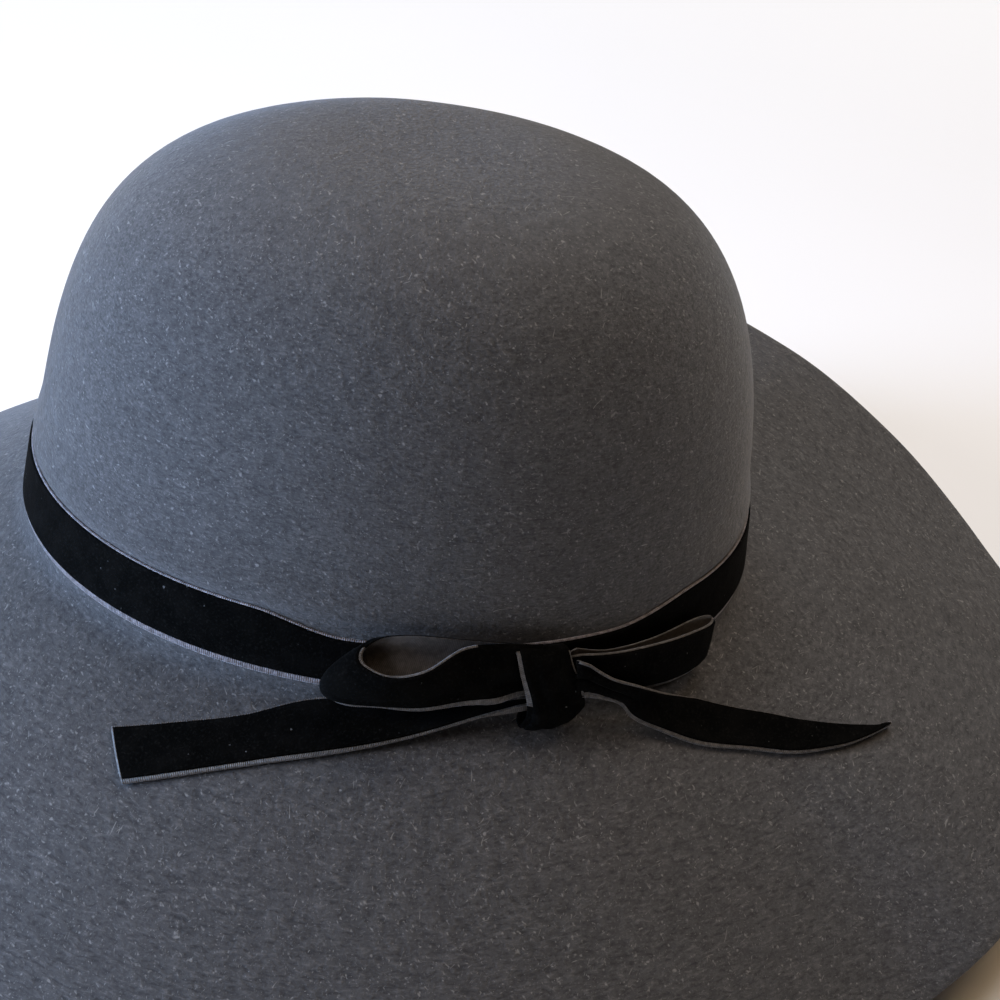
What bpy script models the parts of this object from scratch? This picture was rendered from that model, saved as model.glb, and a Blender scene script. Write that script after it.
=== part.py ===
"""Floppy felt hat with a velvet ribbon and bow, in metres, +Z up.

The hat is drawn about its crown's axis, with the crown's foot, where it turns into the brim, at height 0.
Its front is at -X and the bow is on the side at -Y. The finished hat is then set down on height 0.
"""
import math

import bmesh
import bpy
from mathutils import Vector

# Felt body: sizes of its outer face
FELT_WALL = 0.0022
HALF_LENGTH = 0.1015
HALF_WIDTH = 0.0845
CROWN_HEIGHT = 0.108
CROWN_TAPER = 0.134      # share by which the crown is narrower at its top
SIDE_POWER = 4.2         # a higher power keeps the crown's side upright for longer
TOP_POWER = 3.9          # a higher power makes the crown's top flatter
BREAK_RADIUS = 0.004     # inner corner where the crown turns into the brim
BRIM_WIDTH = 0.110
BRIM_DROP = 0.068        # how far the lowest part of the brim's edge hangs below the crown's foot
BRIM_START = 0.5         # the brim's slope beside the crown, as a share of its mean slope

# Ribbon
RIBBON_WIDTH = 0.018
RIBBON_THICKNESS = 0.0012
BAND_FOOT = 0.0005       # the band's lower edge above the crown's foot
CLEARANCE = 0.0003

# Bow: lengths run along the band, from the knot's side
BOW_ANGLE = math.radians(-67)
KNOT_WIDTH = 0.0136
KNOT_HEIGHT = 0.0228
KNOT_DEPTH = 0.0075
KNOT_LEAN = 0.0035       # how much farther out the knot's lower end stands than its top
KNOT_SAG = 0.0048        # how far the knot hangs below the crown's foot
KNOT_SQUARENESS = 0.5    # 1 is an ellipsoid, and a lower value is nearer to a box
LEFT_LOOP_LENGTH = 0.0494
RIGHT_LOOP_LENGTH = 0.0449
LEFT_TAIL_LENGTH = 0.0917
RIGHT_TAIL_LENGTH = 0.0639

# Mesh density
RING_POINTS = 80
CROWN_RINGS = 9
BREAK_RINGS = 3
BRIM_RINGS = 9
STEPS_PER_ROW = 3
RIBBON_COLUMNS = 3
KNOT_SEGMENTS = 16
KNOT_RINGS = 10
ARC_STEP = math.radians(0.25)

# Height of the brim's edge round the hat: angle in degrees, drop as a share of BRIM_DROP
BRIM_EDGE = [
    (0, 0.46), (15, 0.43), (30, 0.28), (45, 0.12), (60, 0.07), (75, 0.32), (90, 0.74),
    (108, 0.99), (122, 0.99), (136, 0.92), (160, 0.93), (180, 0.97), (210, 1.00), (240, 1.00),
    (270, 1.00), (300, 1.00), (312, 0.97), (320, 0.89), (328, 0.69), (338, 0.54),
]

# A loop's sections, from the knot along its back layer, round its end and back along its front layer.
# Columns: foot's place along the loop, foot's distance out and height, then the same for the rim,
# and how far the middle bulges out. Places are shares of the loop's length, and the rest of RIBBON_WIDTH.
LEFT_LOOP = [
    (0.00, 0.00, 0.18, 0.00, 0.02, 0.86, 0.00),
    (0.22, 0.01, 0.12, 0.22, 0.03, 1.00, 0.00),
    (0.61, 0.01, 0.10, 0.53, 0.04, 1.10, 0.00),
    (0.85, 0.03, 0.10, 0.71, 0.07, 1.07, 0.00),
    (0.97, 0.11, 0.11, 0.79, 0.17, 1.01, 0.01),
    (1.00, 0.21, 0.12, 0.81, 0.32, 0.93, 0.02),
    (0.96, 0.32, 0.15, 0.78, 0.47, 0.87, 0.04),
    (0.77, 0.38, 0.19, 0.67, 0.61, 0.84, 0.08),
    (0.57, 0.38, 0.22, 0.52, 0.55, 0.91, 0.08),
    (0.32, 0.32, 0.22, 0.34, 0.36, 1.07, 0.06),
    (0.14, 0.24, 0.22, 0.14, 0.25, 0.98, 0.03),
    (0.00, 0.17, 0.19, 0.00, 0.17, 0.88, 0.00),
]
RIGHT_LOOP = [
    (0.00, 0.00, 0.10, 0.00, 0.00, 0.74, 0.00),
    (0.20, 0.01, 0.03, 0.20, 0.02, 0.62, 0.00),
    (0.47, 0.02, -0.04, 0.51, 0.02, 0.58, 0.00),
    (0.73, 0.03, -0.06, 0.82, 0.04, 0.60, 0.00),
    (0.89, 0.09, -0.05, 0.97, 0.09, 0.56, 0.01),
    (0.92, 0.18, -0.04, 1.00, 0.17, 0.51, 0.01),
    (0.88, 0.26, -0.04, 0.93, 0.24, 0.53, 0.02),
    (0.73, 0.32, -0.05, 0.78, 0.26, 0.59, 0.04),
    (0.51, 0.34, -0.02, 0.47, 0.27, 0.68, 0.04),
    (0.24, 0.28, 0.06, 0.22, 0.22, 0.70, 0.02),
    (0.00, 0.16, 0.13, 0.00, 0.16, 0.75, 0.00),
]

# A tail's sections, from the knot to the cut end.
# Columns: inner edge's place along the tail, its distance out from the band and its rise above the brim,
# then the same for the outer edge. Places are shares of the tail's length, and the rest of RIBBON_WIDTH.
LEFT_TAIL = [
    (0.00, 0.06, 0.17, 0.00, 0.33, 0.46),
    (0.05, 0.05, 0.18, 0.05, 0.32, 0.39),
    (0.17, 0.04, 0.19, 0.17, 0.37, 0.28),
    (0.31, 0.04, 0.19, 0.32, 0.49, 0.13),
    (0.54, 0.05, 0.16, 0.56, 0.84, 0.07),
    (0.72, 0.42, 0.06, 0.68, 1.07, 0.06),
    (0.86, 0.74, 0.05, 0.79, 1.34, 0.06),
    (1.00, 1.11, 0.05, 0.91, 1.68, 0.06),
]
RIGHT_TAIL = [
    (0.01, 0.38, 1.06, 0.01, 0.34, 0.42),
    (0.09, 0.50, 1.00, 0.07, 0.40, 0.34),
    (0.20, 0.53, 0.78, 0.14, 0.44, 0.20),
    (0.32, 0.53, 0.49, 0.18, 0.56, 0.06),
    (0.45, 0.53, 0.19, 0.29, 0.83, 0.06),
    (0.55, 0.65, 0.06, 0.42, 1.12, 0.06),
    (0.70, 1.21, 0.05, 0.58, 1.52, 0.06),
    (0.79, 1.69, 0.05, 0.71, 2.01, 0.06),
    (0.90, 2.29, 0.05, 0.85, 2.46, 0.06),
    (0.98, 2.76, 0.05, 1.00, 2.83, 0.06),
]


def closed_curve_value(rows, angle):
    """Height of a smooth closed curve through (angle, value) rows, at an angle in degrees."""
    angle = angle % 360
    index = max(i for i, row in enumerate(rows) if row[0] <= angle)
    before, start, end, after = (rows[(index + step) % len(rows)] for step in (-1, 0, 1, 2))
    width = (end[0] - start[0]) % 360
    start_slope = (end[1] - before[1]) / ((end[0] - before[0]) % 360)
    end_slope = (after[1] - start[1]) / ((after[0] - start[0]) % 360)
    t = (angle - start[0]) / width
    return (
        (2 * t**3 - 3 * t**2 + 1) * start[1] + (t**3 - 2 * t**2 + t) * width * start_slope
        + (3 * t**2 - 2 * t**3) * end[1] + (t**3 - t**2) * width * end_slope
    )


def smooth_rows(rows):
    """The rows with STEPS_PER_ROW - 1 more between each two, on a smooth curve through each column."""
    result = []
    last = len(rows) - 1
    for i in range(last):
        before, start, end, after = rows[max(i - 1, 0)], rows[i], rows[i + 1], rows[min(i + 2, last)]
        for step in range(STEPS_PER_ROW):
            t = step / STEPS_PER_ROW
            result.append([
                b + 0.5 * t * (c - a + t * (2 * a - 5 * b + 4 * c - d + t * (3 * (b - c) + d - a)))
                for a, b, c, d in zip(before, start, end, after)
            ])
    result.append(list(rows[last]))
    return result


def wall_point(angle, out, height):
    """Point at a distance out from the crown's wall, at a height above its foot."""
    scale = 1 - CROWN_TAPER * height / CROWN_HEIGHT
    normal = Vector((math.cos(angle) / HALF_LENGTH, math.sin(angle) / HALF_WIDTH, 0)).normalized()
    foot = Vector((HALF_LENGTH * scale * math.cos(angle), HALF_WIDTH * scale * math.sin(angle), height))
    return foot + normal * out


def crown_point(angle, turn):
    """Point of the crown's outer face. The turn runs from 0 at its foot to a right angle at its top."""
    rise = math.sin(turn) ** (2 / SIDE_POWER)
    scale = (1 - CROWN_TAPER * rise) * max(math.cos(turn), 0) ** (2 / TOP_POWER)
    return Vector((
        HALF_LENGTH * scale * math.cos(angle), HALF_WIDTH * scale * math.sin(angle), CROWN_HEIGHT * rise,
    ))


def brim_reach(angle):
    """Horizontal reach of the brim at an angle round the hat, and its edge's drop."""
    drop = BRIM_DROP * closed_curve_value(BRIM_EDGE, math.degrees(angle))
    return math.sqrt(BRIM_WIDTH**2 - drop**2), drop


def brim_point(angle, out):
    """Point of the brim's upper face at a distance out from the crown's wall."""
    reach, drop = brim_reach(angle)
    share = out / reach
    corner = BREAK_RADIUS
    if out < BREAK_RADIUS:
        corner = math.sqrt(BREAK_RADIUS**2 - (BREAK_RADIUS - out) ** 2)
    slope_drop = (drop - BREAK_RADIUS) * (BRIM_START * share + (1 - BRIM_START) * share**2)
    foot = wall_point(angle, out, 0)
    return Vector((foot.x, foot.y, -corner - slope_drop))


def felt_section(angle):
    """The felt's outer face at one angle, from the crown's top ring to the brim's edge."""
    side_turn = math.radians(12)
    turns = [side_turn + (math.pi / 2 - side_turn) * i / CROWN_RINGS for i in range(CROWN_RINGS)]
    section = [crown_point(angle, turn) for turn in reversed(turns)]
    section.append(wall_point(angle, 0, BAND_FOOT + RIBBON_WIDTH))
    for i in range(BREAK_RINGS + 1):
        out = BREAK_RADIUS * (1 - math.cos(math.pi / 2 * i / BREAK_RINGS))
        section.append(brim_point(angle, out))
    reach = brim_reach(angle)[0]
    for i in range(1, BRIM_RINGS + 1):
        section.append(brim_point(angle, BREAK_RADIUS + (reach - BREAK_RADIUS) * i / BRIM_RINGS))
    return section


def band_arcs():
    """Angles round the hat and their lengths along the band from the bow's middle, both ways."""
    out = CLEARANCE + RIBBON_THICKNESS
    arcs = {}
    for side in (-1, 1):
        angle = BOW_ANGLE
        length = 0
        table = [(length, angle)]
        while abs(angle - BOW_ANGLE) < math.pi:
            next_angle = angle + side * ARC_STEP
            length += (wall_point(next_angle, out, 0) - wall_point(angle, out, 0)).length
            angle = next_angle
            table.append((length, angle))
        arcs[side] = table
    return arcs


def angle_at(table, length):
    """Angle round the hat at a length along the band."""
    index = next(i for i, row in enumerate(table) if row[0] >= length)
    if index == 0:
        return table[0][1]
    (start, start_angle), (end, end_angle) = table[index - 1], table[index]
    return start_angle + (end_angle - start_angle) * (length - start) / (end - start)


def new_material(name, colour, roughness):
    material = bpy.data.materials.new(name)
    material.use_nodes = True
    shader = material.node_tree.nodes["Principled BSDF"]
    shader.inputs["Base Color"].default_value = (*colour, 1)
    shader.inputs["Roughness"].default_value = roughness
    shader.inputs["Metallic"].default_value = 0
    material.diffuse_color = (*colour, 1)
    return material


def new_object(name, mesh, material, collection, hat):
    mesh.materials.append(material)
    mesh.shade_smooth()
    piece = bpy.data.objects.new(name, mesh)
    piece.parent = hat
    collection.objects.link(piece)
    return piece


def add_wall(piece, thickness, offset):
    """Gives an open surface its thickness. The offset is 1 outwards, -1 inwards and 0 to both sides."""
    wall = piece.modifiers.new("wall", "SOLIDIFY")
    wall.thickness = thickness
    wall.offset = offset
    wall.use_even_offset = True
    wall.use_quality_normals = True


def mesh_from_rows(name, rows, closed):
    """Surface through rows of points. A closed surface joins each row's last point to its first."""
    build = bmesh.new()
    grid = [[build.verts.new(point) for point in row] for row in rows]
    count = len(grid[0])
    for upper, lower in zip(grid, grid[1:]):
        for i in range(count if closed else count - 1):
            j = (i + 1) % count
            build.faces.new((upper[i], lower[i], lower[j], upper[j]))
    mesh = bpy.data.meshes.new(name)
    build.to_mesh(mesh)
    build.free()
    return mesh


def make_felt(material, collection, hat):
    """One pressed felt: crown and brim, with the hollow for the head open below."""
    angles = [2 * math.pi * i / RING_POINTS for i in range(RING_POINTS)]
    sections = [felt_section(angle) for angle in angles]
    mesh = mesh_from_rows("crown_and_brim", list(zip(*sections)), closed=True)
    build = bmesh.new()
    build.from_mesh(mesh)
    top_ring = list(build.verts)[:RING_POINTS]
    top = build.verts.new((0, 0, CROWN_HEIGHT))
    for i in range(RING_POINTS):
        build.faces.new((top, top_ring[i], top_ring[(i + 1) % RING_POINTS]))
    build.to_mesh(mesh)
    build.free()
    felt = new_object("crown_and_brim", mesh, material, collection, hat)
    add_wall(felt, FELT_WALL, -1)


def make_band(material, collection, hat):
    """Velvet band round the crown's foot."""
    angles = [2 * math.pi * i / RING_POINTS for i in range(RING_POINTS)]
    heights = (BAND_FOOT + RIBBON_WIDTH, BAND_FOOT)
    rows = [[wall_point(angle, CLEARANCE, height) for angle in angles] for height in heights]
    band = new_object("ribbon_band", mesh_from_rows("ribbon_band", rows, closed=True), material, collection, hat)
    add_wall(band, RIBBON_THICKNESS, 1)


def make_loop(name, side, length, sections, arcs, material, collection, hat):
    """One loop of the bow, beside the band. The side is -1 towards the hat's front and 1 towards its back."""
    seat = 2 * CLEARANCE + 1.5 * RIBBON_THICKNESS
    knot_side = KNOT_WIDTH / 2 + CLEARANCE
    rows = []
    for foot_place, foot_out, foot_up, rim_place, rim_out, rim_up, bulge in smooth_rows(sections):
        row = []
        for i in range(RIBBON_COLUMNS + 1):
            t = i / RIBBON_COLUMNS
            place = foot_place + (rim_place - foot_place) * t
            out = foot_out + (rim_out - foot_out) * t + bulge * 4 * t * (1 - t)
            up = foot_up + (rim_up - foot_up) * t
            angle = angle_at(arcs[side], knot_side + place * length)
            row.append(wall_point(angle, seat + out * RIBBON_WIDTH, up * RIBBON_WIDTH))
        rows.append(row)
    loop = new_object(name, mesh_from_rows(name, rows, closed=False), material, collection, hat)
    add_wall(loop, RIBBON_THICKNESS, 0)


def make_tail(name, side, length, sections, arcs, material, collection, hat):
    """One free end of the ribbon, from the knot down on to the brim."""
    band_face = CLEARANCE + RIBBON_THICKNESS
    knot_side = KNOT_WIDTH / 2 + CLEARANCE
    rows = []
    for inner_place, inner_out, inner_rise, outer_place, outer_out, outer_rise in smooth_rows(sections):
        row = []
        for i in range(RIBBON_COLUMNS + 1):
            t = i / RIBBON_COLUMNS
            place = inner_place + (outer_place - inner_place) * t
            out = band_face + (inner_out + (outer_out - inner_out) * t) * RIBBON_WIDTH
            rise = (inner_rise + (outer_rise - inner_rise) * t) * RIBBON_WIDTH
            angle = angle_at(arcs[side], knot_side + place * length)
            row.append(brim_point(angle, out) + Vector((0, 0, rise)))
        if side > 0:
            row.reverse()
        rows.append(row)
    tail = new_object(name, mesh_from_rows(name, rows, closed=False), material, collection, hat)
    add_wall(tail, RIBBON_THICKNESS, 1)


def make_knot(arcs, material, collection, hat):
    """The wrap over the bow's middle: a rounded block bent to the crown's wall."""
    build = bmesh.new()
    bmesh.ops.create_uvsphere(build, u_segments=KNOT_SEGMENTS, v_segments=KNOT_RINGS, radius=1)
    for vertex in build.verts:
        across, out, up = (math.copysign(abs(value) ** KNOT_SQUARENESS, value) for value in vertex.co)
        lean = KNOT_LEAN * (1 - up) / 2
        angle = angle_at(arcs[1 if across > 0 else -1], abs(across) * KNOT_WIDTH / 2)
        distance = 2 * CLEARANCE + RIBBON_THICKNESS + lean + KNOT_DEPTH * (1 - out) / 2
        height = KNOT_HEIGHT * (1 + up) / 2 - KNOT_SAG
        vertex.co = wall_point(angle, distance, height)
    mesh = bpy.data.meshes.new("bow_knot")
    build.to_mesh(mesh)
    build.free()
    new_object("bow_knot", mesh, material, collection, hat)


def set_down(hat, collection):
    """Moves the hat so that the middle of its box's underside is at the origin."""
    bpy.context.view_layer.update()
    graph = bpy.context.evaluated_depsgraph_get()
    corners = []
    for piece in collection.objects:
        if piece.type == "MESH":
            solid = piece.evaluated_get(graph)
            corners += [solid.matrix_world @ Vector(vertex.co) for vertex in solid.data.vertices]
    low = Vector(min(corner[axis] for corner in corners) for axis in range(3))
    high = Vector(max(corner[axis] for corner in corners) for axis in range(3))
    hat.location = (-(low.x + high.x) / 2, -(low.y + high.y) / 2, -low.z)
    bpy.context.view_layer.update()


def main():
    for item in list(bpy.data.objects):
        bpy.data.objects.remove(item, do_unlink=True)
    collection = bpy.data.collections.new("floppy_hat")
    bpy.context.scene.collection.children.link(collection)
    hat = bpy.data.objects.new("crown_axis", None)
    collection.objects.link(hat)
    felt = new_material("grey_felt", (0.060, 0.058, 0.060), 0.95)
    velvet = new_material("black_velvet", (0.004, 0.004, 0.005), 0.9)
    arcs = band_arcs()
    make_felt(felt, collection, hat)
    make_band(velvet, collection, hat)
    make_loop("bow_loop_left", -1, LEFT_LOOP_LENGTH, LEFT_LOOP, arcs, velvet, collection, hat)
    make_loop("bow_loop_right", 1, RIGHT_LOOP_LENGTH, RIGHT_LOOP, arcs, velvet, collection, hat)
    make_tail("bow_tail_left", -1, LEFT_TAIL_LENGTH, LEFT_TAIL, arcs, velvet, collection, hat)
    make_tail("bow_tail_right", 1, RIGHT_TAIL_LENGTH, RIGHT_TAIL, arcs, velvet, collection, hat)
    make_knot(arcs, velvet, collection, hat)
    set_down(hat, collection)


main()
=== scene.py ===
"""Looks of the floppy felt hat: heathered wool felt, velvet ribbon with selvages, and a flat side bow."""
import math

import bmesh
import bpy
from mathutils import Matrix, Vector, noise


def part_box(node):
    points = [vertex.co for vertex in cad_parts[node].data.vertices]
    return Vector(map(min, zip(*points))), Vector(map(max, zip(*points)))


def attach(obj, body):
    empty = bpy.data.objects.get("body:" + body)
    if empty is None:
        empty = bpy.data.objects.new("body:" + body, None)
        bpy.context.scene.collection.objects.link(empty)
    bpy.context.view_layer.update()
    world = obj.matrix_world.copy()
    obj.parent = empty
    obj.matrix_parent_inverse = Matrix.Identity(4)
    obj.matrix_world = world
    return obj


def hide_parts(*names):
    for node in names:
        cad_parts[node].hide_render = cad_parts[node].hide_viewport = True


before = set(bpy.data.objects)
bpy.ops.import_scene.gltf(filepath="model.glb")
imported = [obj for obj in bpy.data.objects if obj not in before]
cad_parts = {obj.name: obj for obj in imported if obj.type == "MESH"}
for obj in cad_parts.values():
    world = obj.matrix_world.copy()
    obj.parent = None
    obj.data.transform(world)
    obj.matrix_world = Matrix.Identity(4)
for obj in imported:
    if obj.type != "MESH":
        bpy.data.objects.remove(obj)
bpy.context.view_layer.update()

# Felt body, as in the part's source
FELT_WALL = 0.0022
HALF_LENGTH = 0.1015
HALF_WIDTH = 0.0845
CROWN_HEIGHT = 0.108
CROWN_TAPER = 0.134
SIDE_POWER = 4.2
TOP_POWER = 3.9
BREAK_RADIUS = 0.004
BRIM_WIDTH = 0.110
BRIM_DROP = 0.068
BRIM_START = 0.5
BRIM_EDGE = [
    (0, 0.46), (15, 0.43), (30, 0.28), (45, 0.12), (60, 0.07), (75, 0.32), (90, 0.74),
    (108, 0.99), (122, 0.99), (136, 0.92), (160, 0.93), (180, 0.97), (210, 1.00), (240, 1.00),
    (270, 1.00), (300, 1.00), (312, 0.97), (320, 0.89), (328, 0.69), (338, 0.54),
]

# Ribbon and bow, as in the part's source
RIBBON_WIDTH = 0.018
RIBBON_THICKNESS = 0.0012
BAND_FOOT = 0.0005
CLEARANCE = 0.0003
BOW_ANGLE = math.radians(-67)
KNOT_WIDTH = 0.0136
KNOT_HEIGHT = 0.0228
KNOT_DEPTH = 0.0075
KNOT_LEAN = 0.0035
KNOT_SAG = 0.0048
LEFT_LOOP_LENGTH = 0.0494
RIGHT_LOOP_LENGTH = 0.0449
LEFT_TAIL_LENGTH = 0.0917
RIGHT_TAIL_LENGTH = 0.0639
ARC_STEP = math.radians(0.25)

# Sections of the loops and tails, as in the part's source apart from small changes to the visible bow: the
# rim and outer end of the left loop, and the start of the right tail.
# Columns of a loop: the foot's place along it, its distance out and height, the same for the rim, and
# how far the middle bulges out
LEFT_LOOP = [
    (0.00, 0.00, 0.18, 0.00, 0.02, 0.93, 0.00),
    (0.22, 0.01, 0.12, 0.22, 0.03, 1.02, 0.00),
    (0.61, 0.01, 0.10, 0.53, 0.04, 1.10, 0.00),
    (0.85, 0.03, 0.10, 0.71, 0.07, 1.07, 0.00),
    (0.92, 0.11, 0.12, 0.79, 0.17, 1.01, 0.03),
    (0.95, 0.21, 0.14, 0.82, 0.32, 0.93, 0.08),
    (0.92, 0.32, 0.16, 0.79, 0.47, 0.87, 0.09),
    (0.77, 0.38, 0.19, 0.67, 0.61, 0.84, 0.08),
    (0.57, 0.38, 0.22, 0.52, 0.55, 0.91, 0.08),
    (0.32, 0.30, 0.22, 0.34, 0.29, 1.09, 0.06),
    (0.14, 0.22, 0.22, 0.14, 0.18, 1.07, 0.03),
    (0.00, 0.15, 0.19, 0.00, 0.13, 0.99, 0.00),
]
RIGHT_LOOP = [
    (0.00, 0.00, 0.10, 0.00, 0.00, 0.74, 0.00),
    (0.20, 0.01, 0.03, 0.20, 0.02, 0.62, 0.00),
    (0.47, 0.02, -0.04, 0.51, 0.02, 0.58, 0.00),
    (0.73, 0.03, -0.06, 0.82, 0.04, 0.60, 0.00),
    (0.89, 0.09, -0.05, 0.97, 0.09, 0.56, 0.01),
    (0.92, 0.18, -0.04, 1.00, 0.17, 0.51, 0.01),
    (0.88, 0.26, -0.04, 0.93, 0.24, 0.53, 0.02),
    (0.73, 0.32, -0.05, 0.78, 0.26, 0.59, 0.04),
    (0.51, 0.34, -0.02, 0.47, 0.27, 0.68, 0.04),
    (0.24, 0.28, 0.06, 0.22, 0.22, 0.70, 0.02),
    (0.00, 0.16, 0.13, 0.00, 0.16, 0.75, 0.00),
]
# Columns of a tail: the inner edge's place along it, its distance out and rise above the brim, and the same
# for the outer edge
LEFT_TAIL = [
    (0.00, 0.06, 0.17, 0.00, 0.33, 0.46),
    (0.05, 0.05, 0.18, 0.05, 0.32, 0.39),
    (0.17, 0.04, 0.19, 0.17, 0.37, 0.28),
    (0.31, 0.04, 0.19, 0.32, 0.49, 0.13),
    (0.54, 0.05, 0.16, 0.56, 0.84, 0.07),
    (0.72, 0.42, 0.06, 0.68, 1.07, 0.06),
    (0.86, 0.74, 0.05, 0.79, 1.34, 0.06),
    (1.00, 1.11, 0.05, 0.91, 1.68, 0.06),
]
RIGHT_TAIL = [
    (0.00, 0.34, 1.17, 0.01, 0.36, 0.61),
    (0.09, 0.45, 0.98, 0.08, 0.42, 0.56),
    (0.20, 0.53, 0.80, 0.15, 0.46, 0.42),
    (0.32, 0.53, 0.51, 0.20, 0.58, 0.24),
    (0.45, 0.53, 0.21, 0.31, 0.84, 0.13),
    (0.55, 0.65, 0.06, 0.42, 1.12, 0.06),
    (0.70, 1.21, 0.05, 0.58, 1.52, 0.06),
    (0.79, 1.69, 0.05, 0.71, 2.01, 0.06),
    (0.90, 2.29, 0.05, 0.85, 2.46, 0.06),
    (0.98, 2.76, 0.05, 1.00, 2.83, 0.06),
]

# Mesh density of the visible pieces
RING_POINTS = 300
CROWN_RINGS = 54
BAND_RINGS = 5
BREAK_RINGS = 7
BRIM_RINGS = 46
EDGE_RINGS = 5
PATH_SAMPLES = 4000
RING_MARGIN = 0.001
BAND_POINTS = 420
STEPS_PER_ROW = 12
KNOT_STEPS = 84
MIDDLE_COLUMNS = 12

# The felt's soft unevenness: how far its wide and small swells stand out, and how close together they are
WIDE_SWELL = 0.0007
WIDE_SCALE = 11
WIDE_SHIFT = Vector((3.1, 7.7, 1.3))
SMALL_SWELL = 0.00022
SMALL_SCALE = 34
SMALL_SHIFT = Vector((9.2, 0.4, 5.8))

# Distances over which the unevenness sets in: above the crown's foot, from the axis and from the bow
UNEVEN_HEIGHT = (0.022, 0.045)
UNEVEN_SPREAD = (0.115, 0.145)
UNEVEN_FROM_BOW = (0.085, 0.125)

# The brim's raw edge, and how far out from the wall the bow's middle is
EDGE_BULGE = 0.0006
EDGE_POWER = 0.6
BOW_OUT = 0.01

# How far the felt swells out just above the tight band, and the distances over which the swell rises and
# fades above the band and sets in beside the bow
BAND_BITE = 0.0009
BITE_START = 0.0002
BITE_RISE = (0, 0.0015)
BITE_FADE = (0.003, 0.014)
BITE_FROM_BOW = (0.035, 0.065)

# The band's seat on the felt, how far its upper edge is drawn down beside the bow, the share of its width
# at which that starts, and where it happens along the band, from the bow's middle
BAND_SEAT = 0.0001
BAND_DIP = 0.0038
DIP_START = 0.3
DIP_LEFT = (-0.066, -0.044)
DIP_RIGHT = (0.016, 0.045)

# The ribbon's cross-section. A profile has the share of the selvage's width and of its height. The pile's
# first steps have the share of the ribbon's width beyond the selvage, and of the pile's height. Which side
# is the velvet's is told at one share of the ribbon's length
SELVAGE_HEIGHT = 0.0006
PILE_HEIGHT = 0.00115
SELVAGE_PROFILE = ((0, 0.45), (0.3, 0.95), (0.8, 1.0))
SELVAGE_END = 1.05
FACING_SHARE = 5 / 8
PILE_STEPS = ((0.012, 0.86), (0.03, 1.0))
LOWEST_PILE = SELVAGE_HEIGHT * 1.2
PILE_UNEVENNESS = 0.00007
PILE_SCALE = 900

# How far the hidden ends of the loops and tails run into the knot. A loop's hidden end keeps a share of its
# distance out and has the rest added, in ribbon widths. A tail's goes on rising by a share of its last rise
HIDDEN_END = 0.0035
HIDDEN_KEPT = 0.6
HIDDEN_OUT = 0.07
HIDDEN_RISE = 0.6

# The row of a tail just before its cut end, as a share of the way back to the row before
CUT_WIDTH = 0.6

# Gathers beside the knot: their depth, and the share of the length over which they fade
LOOP_PLEAT = (0.00045, 0.22)
TAIL_PLEAT = (0.0008, 0.17)

# Shares of a loop's rows over which its back layer ends and its front layer begins, and of its length over
# which its end is rounded
BACK_LAYER_END = (0.28, 0.42)
FRONT_LAYER_START = (0.50, 0.62)
LOOP_END = (0.45, 0.95)

# A front layer's foot flares out in a wave, up to a share of the ribbon's width, from the knot on
FLARE_WAVE = 0.35
FLARE_TURNS = 15
FLARE_WIDTH = 0.28
FLARE_START = 0.2

# A back layer is scooped out: shares of the loop's length where it sets in, and of the width where it ends
SCOOP_START = (0.10, 0.45)
SCOOP_WIDTH = (0.25, 0.75)

# Distance out, in ribbon widths, beyond which a loop is gathered into pleats
PLEATED_OUT = 0.1

# The knot's wrap. It turns from behind its foot over the front to behind its top, in degrees. Its roundness
# is 1 for an ellipsoid and lower for a box
KNOT_TURNS = (-150, 125)
KNOT_ROUNDNESS = 0.62
KNOT_TRIM = 0.0014         # how much lower the wrap's middle surface is than the knot
KNOT_LIFT = 0.0002
KNOT_SINK = 0.0010         # how far the wrap's back face lies below its middle surface
KNOT_PINCH = (0.14, 2.4)   # how much flatter the sides are, and the power at which it grows
KNOT_SPREAD = 0.54         # half of the wrap's width, as a share of the knot's width
KNOT_SHIFT = 0.0036        # how far the wrap's top is moved along the band
KNOT_SLIDE = 0.0034        # how far the wrap slides back along the band on its way down
SLIDE_END = 0.72           # share of the way down at which the slide ends
SLIDE_BACK = (0.45, 0.76)  # share of the slide that is taken back, and where that starts
KNOT_NEAREST = 0.002       # least distance of the wrap's surface from the crown's wall

# The knot's shallow creases, with their half turns across the wrap and up it, and its soft unevenness
KNOT_CREASE = 0.0003
CREASE_TURNS = (3.4, 0.5)
CREASE_SHIFT = 1.2
KNOT_UNEVENNESS = 0.00016
UNEVEN_PLACE = (3.1, 2.3, 4.7)

# The foot of the wrap rises and tilts, and its top tilts the other way, over shares of the way down
FOOT_START = 0.6
FOOT_RISE = 0.0012
FOOT_TILT = 0.0018
FOOT_TILT_START = 0.1
TOP_END = 0.4
TOP_TILT = 0.0008

# Where a selvage is turned in, and velvet shows in its place: the edge, and the shares along the ribbon
LEFT_LOOP_BARE = ((1, 0.0, 0.40), (1, 0.84, 1.0), (0, 0.0, 0.50))
KNOT_BARE = ((0, 0.0, 0.15), (0, 0.47, 1.0), (1, 0.0, 0.16), (1, 0.46, 1.0))

# The crown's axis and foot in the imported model
band_low, band_high = (Vector(corner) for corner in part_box("ribbon_band"))
AXIS = Vector(((band_low.x + band_high.x) / 2, (band_low.y + band_high.y) / 2, band_low.z - BAND_FOOT))


# The photograph's view: the camera's direction and distance from a point in the crown, where it points, and
# its focal length and the photograph's width in pixels
VIEW_HEIGHT = 0.045
VIEW_AZIMUTH = math.radians(-2.60)
VIEW_ELEVATION = math.radians(28.74)
VIEW_DISTANCE = 0.480
VIEW_YAW = math.radians(6.74)
VIEW_PITCH = math.radians(32.57)
VIEW_ROLL = math.radians(9.25)
FOCAL_PIXELS = 1755
FRAME_PIXELS = 1000
SENSOR_WIDTH = 36
NEAREST_SEEN = 0.01


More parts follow.
